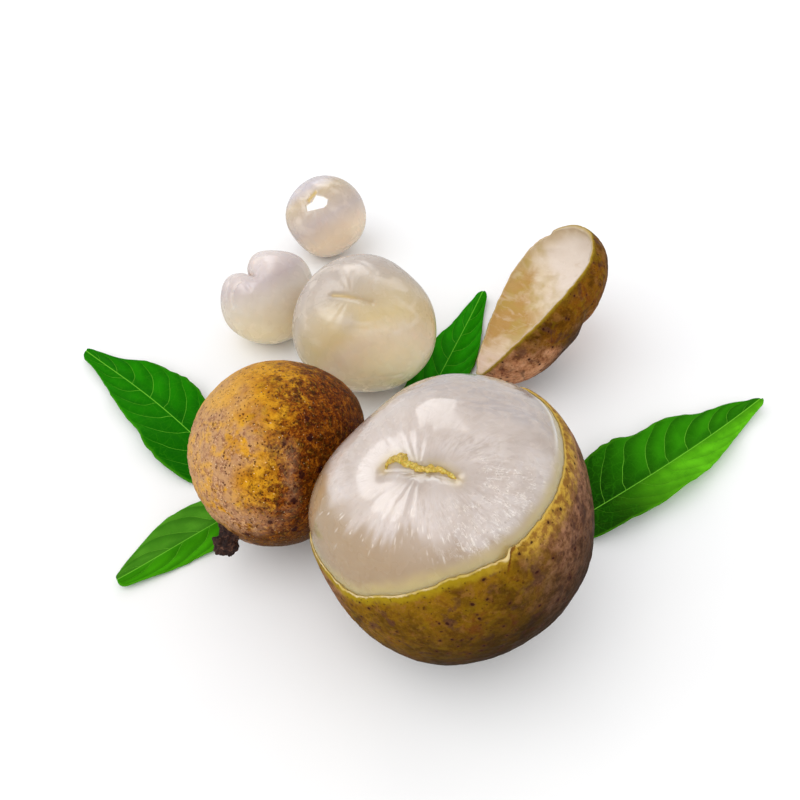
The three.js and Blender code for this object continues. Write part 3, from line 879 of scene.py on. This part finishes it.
class Look:
    """A material or a world, with a short call for each kind of node. Lengths are in mm."""

    def __init__(self, name, kind="materials", shader="Principled BSDF"):
        self.data = getattr(bpy.data, kind).new(name)
        self.data.use_nodes = True
        self.tree = self.data.node_tree
        self.shader = self.tree.nodes[shader]
        place = self.make("ShaderNodeTexCoord", {}, "Object")
        self.place = self.make("ShaderNodeVectorMath", {0: place, "Scale": 1 / MM}, operation="SCALE")

    def make(self, kind, inputs, output=0, **settings):
        """A new node's output. The inputs are given by their names or their places."""
        made = self.tree.nodes.new(kind)
        for key, value in settings.items():
            setattr(made, key, value)
        for key, value in dict(inputs).items():
            self.put(made.inputs[key], value)
        return Value(self, made.outputs[output])

    def put(self, socket, value):
        if isinstance(value, Value):
            self.tree.links.new(value.socket, socket)
        elif isinstance(value, tuple) and socket.type == "RGBA":
            socket.default_value = linear(value)
        else:
            socket.default_value = value

    def set(self, **values):
        for key, value in values.items():
            self.put(self.shader.inputs[key.replace("_", " ")], value)

    def attribute(self, name, output="Fac"):
        return self.make("ShaderNodeAttribute", {}, output, attribute_name=name)

    def noise(self, size, detail=2, roughness=0.5, distortion=0, place=None):
        inputs = {"Vector": place or self.place, "Scale": 1 / size, "Detail": detail}
        inputs.update({"Roughness": roughness, "Distortion": distortion})
        return self.make("ShaderNodeTexNoise", inputs)

    def cells(self, size, place, output="Distance", feature="F1"):
        inputs = {"Vector": place, "Scale": 1 / size}
        return self.make("ShaderNodeTexVoronoi", inputs, output, feature=feature)

    def wobbled(self, size, amount):
        """Places shifted by up to about `amount` mm, so that what is drawn there has an uneven outline."""
        wander = self.make("ShaderNodeTexNoise", {"Vector": self.place, "Scale": 1 / size}, "Color")
        inputs = {0: wander, 1: (2 * amount,) * 3, 2: self.place}
        return self.make("ShaderNodeVectorMath", inputs, operation="MULTIPLY_ADD")

    def dots(self, size, width, share, place, core=0.75, reach=1.15):
        """Dots `width` across in cells of `size`, in `share` of the cells.

        Each is full up to `core` times its radius, and fades out at `reach` times its radius.
        """
        radius = width / size / 2
        chosen = self.cells(size, place, "Color").part("X").fade(share, share + 0.02)
        return self.cells(size, place).fade(radius * core, radius * reach) * chosen

    def calc(self, operation, *numbers):
        return self.make("ShaderNodeMath", enumerate(numbers), operation=operation)

    def mix(self, share, under, over, blend="MIX"):
        inputs = {"Factor": share, 6: under, 7: over}
        return self.make("ShaderNodeMix", inputs, 2, data_type="RGBA", blend_type=blend)

    def layers(self, colour, *layers):
        """Lays colours over the first one. Each layer says how much of it shows, and gives its colour."""
        for share, over in layers:
            colour = self.mix(share, colour, over)
        return colour

    def bump(self, height, depth):
        """`depth` mm between a height of 0 and a height of 1."""
        inputs = {"Height": height, "Distance": depth * MM, "Strength": 1.0}
        self.set(Normal=self.make("ShaderNodeBump", inputs))


def streaked_flesh(look, tints, contrast):
    """The colour of flesh and how high its streaks are.

    The tints are those of the flesh, its streaks and its deeper parts. `contrast` says how plain the streaks
    are.
    """
    base, streak, deep = tints
    fibre = look.attribute("fibre", "Vector").stretched(10, 10, 0.55)
    streaked = look.attribute("streaked")
    lines = look.noise(1, 3, 0.6, 1.1, fibre) * 0.7 + look.noise(0.4, 2, 0.5, 0.6, fibre) * 0.3
    colour = look.layers(
        look.mix(look.noise(6, 3, 0.55, 0.4).step(0.35, 0.7), base, deep),
        (streaked * lines.step(0.36, 0.6, bottom=0.4) * contrast, streak),
        # painted shade: the deeper tint in the low grooves between the streaks
        (streaked * lines.step(0.46, 0.36) * (0.5 * contrast), deep),
    )
    return colour, lines * (streaked * 0.9 + 0.1)


def wet_flesh(look, colour, height, depth, coat, relief):
    """Wet, see-through flesh, in which light goes `depth` mm."""
    look.set(
        Base_Color=look.layers(
            colour,
            (look.attribute("golden"), (200, 174, 88)),
            # near-white: the front flesh's own crumbs and rim line; on the arils, a painted highlight along
            # the creases and painted light in the small aril's hole
            (look.attribute("opened"), (250, 250, 250)),
        ),
        Roughness=look.noise(2.2, 2).step(0.3, 0.7, 0.32, 0.2),
        IOR=1.42,
        Subsurface_Weight=1.0,
        Subsurface_Scale=depth * MM,
        Subsurface_Radius=(1.0, 0.88, 0.72),
        Coat_Weight=coat,
        Coat_Roughness=0.1,
        Coat_IOR=1.45,
    )
    look.bump(height + look.noise(0.5, 2) * 0.06, relief)
    return look.data


def front_flesh():
    look = Look("front_flesh")
    colour, height = streaked_flesh(look, ((194, 181, 173), (212, 203, 199), (177, 162, 152)), 0.62)
    fibre = look.attribute("fibre", "Vector")
    crinkled = look.attribute("crinkled")
    low = look.attribute("up") + look.attribute("streaked") * 0.3
    broken = look.noise(0.8, 1).step(0.42, 0.56)
    strokes = abs(look.noise(1, 2, 0.5, 0.8, fibre.stretched(26, 26, 0.9)) - 0.5).fade(0, 0.04)
    worms = abs(look.noise(0.9, 2, 0.5, 1.2) - 0.5).fade(0, 0.02, 0.8)
    threads = look.calc("MAXIMUM", strokes, worms) * broken * crinkled
    pits = look.dots(0.7, 0.2, 0.4, look.wobbled(0.5, 0.2)) * crinkled
    drops = look.cells(1, fibre.stretched(24, 24, 0.6)).fade(0.1, 0.36) * broken
    swirls = look.noise(2, 3, 0.55, 1.6, look.place.stretched(0.5, 1, 1)).step(0.4, 0.58, 0.15, 1.0)
    rim = look.attribute("to_rim") + look.noise(2, 2) * 1.2
    colour = look.layers(
        colour,
        (low.fade(0.45, 0.92, 0.95), (162, 138, 108)),
        (threads * 0.7, (236, 230, 224)),
        (pits * 0.4, (150, 138, 126)),
        (drops * look.attribute("dripping") * 0.65, (236, 229, 222)),
        (swirls * look.attribute("veiled") * 0.5, (158, 150, 152)),
        (rim.fade(0.7, 2.9, 0.8), (200, 178, 116)),
    )
    return wet_flesh(look, colour, height, 7, 0.8, 0.05)


def aril_flesh(name, *stops):
    """The stops are colours for the flesh's places from its darker side, at 0, to its lighter side, at 1.
    They are partly its own warmer tone and partly painted light, which lightens the side where shade falls.
    """
    look = Look(name)
    colour, height = streaked_flesh(look, ((249, 248, 247), (255, 255, 255), (243, 240, 236)), 0.5)
    paler = look.attribute("paler") * 0.5 + 0.5
    colour = look.layers(
        look.mix(1.0, colour, paler.ramp(*stops), "MULTIPLY"),
        (look.attribute("swirled") * 0.3, (230, 219, 207)),
        # painted shade: a grey smudge where the seed's hollow shows through the flesh
        (look.attribute("grey") * 0.35, (162, 152, 152)),
    )
    return wet_flesh(look, colour, height, 12, 0.12, 0.02)


def shell_outside(look, tones, pinks, rosy, low, glow, lip):
    """Skin of four tones, and its height.

    `rosy` says where it turns pink, and `low` where painted shade makes it darker. `glow` is how many mm of
    it are mustard along the rim, and its colour. `lip` is the colour at the very edge, and how tightly it
    keeps to that edge.
    """
    reach, mustard = glow
    lip_colour, tightness = lip
    from_rim = look.attribute("from_rim")
    uneven = look.wobbled(0.7, 0.25)
    grain = look.noise(0.42, 3, 0.72)
    near = from_rim + (look.noise(2.6, 4, 0.65) - 0.5) * 7
    scurf = grain * 0.3 + look.noise(1.3, 3, 0.6) * 0.7
    edging = from_rim * tightness + (look.noise(0.9, 3, 0.65) - 0.5) * 1.1
    dots = look.dots(1.2, 0.38, 0.75, uneven)
    colour = look.layers(
        look.noise(3.4, 4, 0.62, 0.6).ramp(*zip((0.36, 0.46, 0.55, 0.66), tones)),
        (near.fade(0, reach, 0.75), mustard),
        (look.noise(2.1, 3, 0.6, 0.5).step(0.54, 0.66, 0.45), (126, 98, 8)),
        (look.noise(1.1, 4, 0.65, 0.6).step(0.52, 0.66, 0.5), (86, 48, 10)),
        (look.noise(1.6, 3, 0.6, 0.5).step(0.55, 0.68, 0.5), (136, 92, 46)),
        (rosy, scurf.ramp(*zip((0.38, 0.48, 0.6), pinks))),
        (look.noise(2.4, 3, 0.55, 0.4).step(0.56, 0.68, 0.65), (76, 46, 40)),
        (grain.step(0.5, 0.72, 0.15), (176, 134, 60)),
        (grain.step(0.47, 0.3, 0.3), (62, 38, 8)),
        (edging.fade(0.4, 1.3, 0.85), lip_colour),
        # painted shade: near-black brown where `low` says the skin lies in shade
        (low, (34, 20, 3)),
        (look.dots(1.2, 0.38, 0.75, uneven, 0.5, 2.88) * 0.4, (84, 44, 34)),
        (dots * 0.85, (44, 16, 14)),
        (look.dots(0.6, 0.24, 0.6, uneven) * 0.6, (58, 28, 12)),
    )
    return colour, grain * 0.6 + look.cells(0.7, uneven) * 0.3 - dots * 0.4


def shell_look(look, skin, lining, edge):
    """Lays the torn places and the lining over the skin's colour."""
    colour, height = skin
    at_edge = look.attribute("from_rim") + look.noise(0.5, 3) * 0.5
    colour = look.layers(
        colour,
        (at_edge.fade(0.25, 0.5, 0.9), edge),
        (look.attribute("curl").step(0.25, 0.7, 0.85), (214, 192, 140)),
        (look.attribute("crack").step(0.2, 0.6, 0.8), (118, 66, 20)),
        (look.attribute("inside"), lining),
    )
    roughness = look.noise(1.5, 3).step(0.3, 0.7, 0.55, 0.38)
    look.set(Base_Color=colour, Roughness=roughness, Specular_IOR_Level=0.02)
    look.bump(height, 0.08)
    return look.data


def front_shell():
    look = Look("front_shell")
    x, y, z = (look.place.part(letter) for letter in "XYZ")
    sideways = x + (look.noise(4, 4, 0.6) - 0.5) * 14
    golden = look.mix(look.noise(1.2, 3, 0.65).step(0.4, 0.6), (140, 98, 38), (200, 160, 60))
    skin = shell_outside(
        look,
        tones=((78, 52, 5), (98, 67, 7), (118, 83, 10), (108, 62, 16)),
        pinks=((90, 56, 44), (132, 89, 66), (172, 124, 96)),
        rosy=sideways.step(6, 13, 0.9) + sideways.fade(-15, -11, 0.7),
        # painted shade: darker towards the bottom and the right, away from the upper-left light
        low=(z - x * 0.8 + y * 0.3 + look.noise(3, 3) * 5).fade(4, 22, 0.9),
        glow=(4.5, (136, 98, 12)),
        lip=(look.mix(x.step(0, 9), (150, 126, 20), golden), x.step(2, 9, 0.4, 1.0)),
    )
    lining = look.mix(look.noise(3, 2), (214, 190, 116), (196, 164, 84))
    pale = look.mix(look.noise(2, 2).step(0.4, 0.6), (196, 172, 96), (218, 198, 156))
    return shell_look(look, skin, lining, look.mix(x.step(0, 8), pale, (200, 168, 80)))


def piece_shell():
    look = Look("piece_shell")
    place = look.attribute("place", "Vector")
    x, y, z = (place.part(letter) for letter in "XYZ")
    skin = shell_outside(
        look,
        tones=((74, 44, 3), (100, 62, 6), (122, 78, 12), (114, 62, 14)),
        pinks=((144, 90, 64), (190, 130, 92), (214, 158, 118)),
        rosy=(look.place.part("Z") + (look.noise(3.5, 4, 0.6) - 0.5) * 12).fade(8, 15, 0.95),
        # painted shade: near black over the deep part of the cup below its waist
        low=(z + abs(x + 5) * 0.2 + x.step(-2.5, 0.5, 2.5)).fade(-7.4, -4, 0.85),
        glow=(1.5, (104, 74, 14)),
        lip=((136, 112, 26), 2.0),
    )
    across = y + (look.noise(3.5, 3, 0.55, 0.6) - 0.5) * 7 + x.fade(-12, 2, -4.0)
    threads = look.noise(1, 3, 0.6, 0.6, place.stretched(0.7, 0.25, 0.3))
    lining = look.layers(
        across.step(1, 13).ramp((0.08, (238, 226, 216)), (0.5, (226, 209, 182)), (0.85, (189, 151, 91))),
        (x.fade(-12, 2, 0.45), (200, 156, 114)),
        # painted shade: tan under the rim along the top of the lining
        (look.attribute("from_rim").fade(0.5, 4, 0.6) * x.step(5, 11), (194, 168, 116)),
        (look.noise(3, 2).step(0.42, 0.66) * y.step(0, 8, 0.6), (184, 160, 84)),
        (threads.step(0.5, 0.7, 0.2), (250, 242, 234)),
        (threads.step(0.45, 0.3, 0.2), (196, 166, 126)),
    )
    pale = look.mix(x.step(8, 12), (222, 194, 140), (188, 146, 92))
    return shell_look(look, skin, lining, look.mix(y.step(-2, 4), (164, 134, 46), pale))


def golden_skin(look, dark_and_shaded):
    pale = dark_and_shaded + look.noise(3, 3) * 0.5
    return look.layers(
        look.noise(3, 3, 0.6, 0.5).ramp(
            (0.34, (164, 102, 12)), (0.46, (190, 128, 20)), (0.57, (212, 152, 30)), (0.7, (202, 142, 46))
        ),
        (pale.fade(-0.6, -0.1, 0.9), (212, 162, 84)),
        (look.noise(2.6, 2).step(0.56, 0.68) * dark_and_shaded.step(-0.7, 0.1, 0.6, 0.1), (198, 156, 14)),
    )


def whole_shell_material():
    look = Look("whole_shell")
    dark_and_shaded, lump, scurf = (look.attribute(name) for name in ("dark_and_shaded", "lump", "scurf"))
    grain = look.noise(0.34, 3, 0.75)
    brown = look.noise(0.8, 4, 0.75, 0.6).ramp(
        (0.38, (40, 8, 1)), (0.48, (86, 30, 3)), (0.56, (122, 56, 7)), (0.66, (170, 100, 18))
    )
    mottle = (look.noise(2.6, 4, 0.65, 0.8) - 0.5) * 1.2 + (look.noise(0.7, 3, 0.7) - 0.5) * 1.1
    beige = grain.ramp((0.4, (112, 70, 52)), (0.5, (160, 112, 82)), (0.6, (206, 164, 124)))
    crowd = look.noise(1.1, 3, 0.6, 0.8)
    crowded = (crowd + dark_and_shaded * 0.12).step(0.38, 0.52, bottom=0.25)
    spotted = (dark_and_shaded + crowd * 0.8).step(0, 0.6, bottom=0.1)
    uneven = look.wobbled(0.5, 0.2)
    ragged = look.wobbled(0.5, 0.5)
    tiny = look.dots(0.42, 0.24, 0.75, uneven)
    # painted highlights: tiny bright specks in the colour, more of them on the scurfy side
    painted_glints = look.dots(0.5, 0.15, 0.35, uneven) * look.attribute("scurfy").step(-0.4, 0.6, 0.55, 0.1)
    colour = look.layers(
        golden_skin(look, dark_and_shaded),
        # The brown side and its darkest part: partly the skin's own mahogany colour and partly painted shade
        ((dark_and_shaded + mottle).step(-0.34, 0.12, 0.96), brown),
        (dark_and_shaded.step(0.45, 0.95, 0.55), (62, 17, 2)),
        # painted shade: darker olive-brown towards the bottom
        (look.place.part("Z").fade(7, 15, 0.8), (76, 47, 8)),
        (grain.step(0.52, 0.7, 0.3), (214, 160, 60)),
        (grain.step(0.46, 0.3, 0.5), (84, 40, 8)),
        (look.noise(2.4, 3, 0.6).step(0.38, 0.54, 0.75) * scurf, (180, 140, 108)),
        (look.noise(1.5, 4, 0.65, 0.5).step(0.54, 0.66, 0.5) * scurf, (140, 96, 78)),
        (lump * 0.75, beige),
        (tiny * crowded * 0.85, (60, 22, 8)),
        (look.dots(0.8, 0.4, 0.4, look.wobbled(0.35, 0.2)) * crowded * 0.8, (66, 20, 10)),
        (look.dots(2.0, 0.95, 0.55, ragged, 0.5, 1.92) * spotted * 0.4, (84, 30, 14)),
        (look.dots(2.0, 0.95, 0.55, ragged) * spotted * 0.85, (38, 8, 14)),
        (painted_glints, (246, 220, 176)),
    )
    look.set(Base_Color=colour, Roughness=grain.step(0.3, 0.7, 0.54, 0.32), Specular_IOR_Level=0.04)
    look.bump(grain * 0.8 + lump * 0.3 - tiny * 0.3, 0.14)
    return look.data


def scar_material():
    look = Look("scar")
    crinkle = look.noise(0.35, 4, 0.7, 0.5)
    colour = look.layers(
        crinkle.ramp(
            (0.3, (122, 92, 16)), (0.42, (174, 142, 36)), (0.55, (202, 172, 66)), (0.7, (234, 214, 136))
        ),
        # painted shade: a browner mustard on the scar's underside
        (look.attribute("down").step(-0.2, 0.9, 0.4), (184, 146, 60)),
    )
    look.set(Base_Color=colour, Roughness=0.5, Subsurface_Weight=0.3, Subsurface_Scale=0.5 * MM)
    look.bump(crinkle, 0.15)
    return look.data


def stalk_material():
    look = Look("stalk")
    bark = look.noise(0.6, 4, 0.7, 0.8)
    colour = bark.ramp((0.35, (24, 12, 10)), (0.52, (52, 30, 24)), (0.68, (112, 76, 56)))
    look.set(Base_Color=colour, Roughness=0.75, Specular_IOR_Level=0.25)
    look.bump(bark, 0.35)
    return look.data


def leaf_material(name, left, right, foot, vein, left_relief):
    """Each side of the midrib has its own green, in places painted light; painted shade darkens it towards
    the foot.
    """
    look = Look(name)
    blade = look.attribute("blade", "Vector")
    from_rib = abs(blade.part("Y"))
    edge = blade.part("Z")
    side = look.attribute("side")
    sweep = edge * 1.1 + look.calc("POWER", edge, 3.0) * 0.9
    phase = blade.part("X") * (1 / VEIN_SPACING) - sweep + side.fade(-0.01, 0.01, 0.5)
    phase = phase + (look.noise(8, 1) - 0.5) * 0.8
    from_vein = abs(look.calc("FRACT", phase + 0.5) - 0.5) * VEIN_SPACING
    lateral = from_vein.fade(0, 0.09) * edge.step(0.5, 1.0, 0.15, 1.0)
    relief = side.step(-0.01, 0.01, left_relief, 1.0)
    # Painted shade: each panel between lateral veins darkens towards one vein, as the quilted blade would be
    # shaded.
    shaded = look.calc("FRACT", phase).fade(0.05, 0.75, 0.5) * relief
    branches = look.cells(2.3, look.wobbled(1.2, 0.5), feature="DISTANCE_TO_EDGE").fade(0, 0.04, 0.25)
    net = look.cells(0.9, look.wobbled(1, 0.3), feature="DISTANCE_TO_EDGE").fade(0, 0.08, 0.12)
    netted = look.calc("MAXIMUM", net, branches)
    colour = look.layers(
        look.mix(side.step(-0.05, 0.05), right, left),
        # Painted shade: darker towards the foot, which lies under and between the fruits.
        (look.attribute("to_tip").fade(0.2, 0.6, 0.95), foot),
        # Painted shade between the veins and beside the midrib.
        (look.calc("MAXIMUM", shaded, from_rib.fade(0.1, 2, 0.4)), foot),
        (look.noise(3, 3).step(0.35, 0.7, 0.3), (12, 84, 1)),
        (netted, (56, 138, 16)),
        (edge.step(0.92, 1.0, 0.4), (84, 160, 24)),
        (lateral * relief * 0.65, vein),
        (from_rib.fade(0, 0.1, 0.8), vein),
    )
    roughness = look.noise(2, 3).step(0.3, 0.7, 0.56, 0.42)
    look.set(Base_Color=colour, Roughness=roughness, Specular_IOR_Level=0.005)
    look.bump(look.noise(0.35, 3) * 0.25 - lateral * 0.5 - netted * 0.5, 0.1)
    return look.data


def table_material():
    look = Look("table")
    colour = look.mix(look.noise(40, 2).step(0.3, 0.7), (244, 244, 245), (248, 248, 248))
    look.set(Base_Color=colour, Roughness=0.6, Specular_IOR_Level=0.2)
    return look.data


# The table, the lights and the camera

def table():
    far = TABLE_REACH * MM
    mesh = bpy.data.meshes.new("table")
    mesh.from_pydata([(-far, -far, 0), (far, -far, 0), (far, far, 0), (-far, far, 0)], [], [(0, 1, 2, 3)])
    mesh.materials.append(table_material())
    top = add_object("table", mesh)
    top.location.z = -TABLE_GAP * MM
    top.visible_glossy = False


def light(name, kind, direction, energy):
    lamp = bpy.data.lights.new(name, kind)
    lamp.energy = energy
    holder = add_object(name, lamp)
    holder.rotation_euler = (-Vector(direction)).to_track_quat("-Z", "Y").to_euler()
    return holder


def softbox(name, direction, distance, size, radiance):
    """A square light that faces the bunch's middle and gives it highlights alone."""
    holder = light(name, "AREA", direction, radiance * math.pi * size[0] * size[1])
    holder.data.shape = "RECTANGLE"
    holder.data.size, holder.data.size_y = size
    holder.location = Vector(LIT_MIDDLE) * MM + Vector(unit(*direction)) * distance
    holder.visible_diffuse = False


def wide_light(name, direction, spread, strength):
    """A wide, even light that shows no highlight of its own."""
    holder = light(name, "SUN", direction, strength)
    holder.data.angle = math.radians(spread)
    holder.visible_glossy = False


def studio():
    """Even white light from above and around, which is darker below what the table hides."""
    look = Look("studio", "worlds", "Background")
    height = look.make("ShaderNodeTexCoord", {}, "Generated").part("Z")
    brightness = look.make("ShaderNodeMapRange", enumerate((height, *WORLD_HEIGHTS, *WORLD_STRENGTHS)))
    look.set(Color=(255, 255, 255), Strength=brightness)
    bpy.context.scene.world = look.data
    bpy.context.scene.view_settings.view_transform = "Standard"


def lights():
    wide_light("upper_left", (-0.5, -0.2, 0.85), 60, 0.9)
    wide_light("front_fill", (-0.2, -0.9, 0.3), 60, 0.6)
    softbox("left_softbox", (-0.72, 0.03, 0.69), 0.6, (0.46, 0.3), 4.2)
    softbox("back_softbox", (-0.14, 0.68, 0.72), 0.6, (0.26, 0.5), 3.2)


def camera():
    lens = bpy.data.cameras.new("camera")
    lens.angle = math.radians(CAMERA_ANGLE)
    lens.clip_start = 0.005
    holder = add_object("camera", lens)
    holder.location = Vector(CAMERA_PLACE) * MM
    holder.rotation_euler = (math.radians(CAMERA_TILT), 0, 0)
    bpy.context.scene.camera = holder


def dress(piece, node, material):
    piece.data.materials.append(material)
    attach(piece, "root")
    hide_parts(node)


def bunch():
    dress(half_peeled_shell(), "half_peeled_shell", front_shell())
    dress(half_peeled_flesh(), "half_peeled_flesh", front_flesh())
    dress(scar(), "half_peeled_scar", scar_material())
    dress(whole_fruit(), "whole_fruit", whole_shell_material())
    dress(stalk(), "whole_fruit_stalk", stalk_material())
    for name, shape in ARILS.items():
        dress(aril(name + "_body", shape), name, aril_flesh(name + "_flesh", *shape["tints"]))
    dress(loose_piece(), "loose_shell_piece", piece_shell())
    for name, shape in LEAVES.items():
        dress(leaf(name, shape), name, leaf_material(name, *shape["looks"]))


camera()
bunch()
table()
lights()
studio()

bpy.context.view_layer.update()
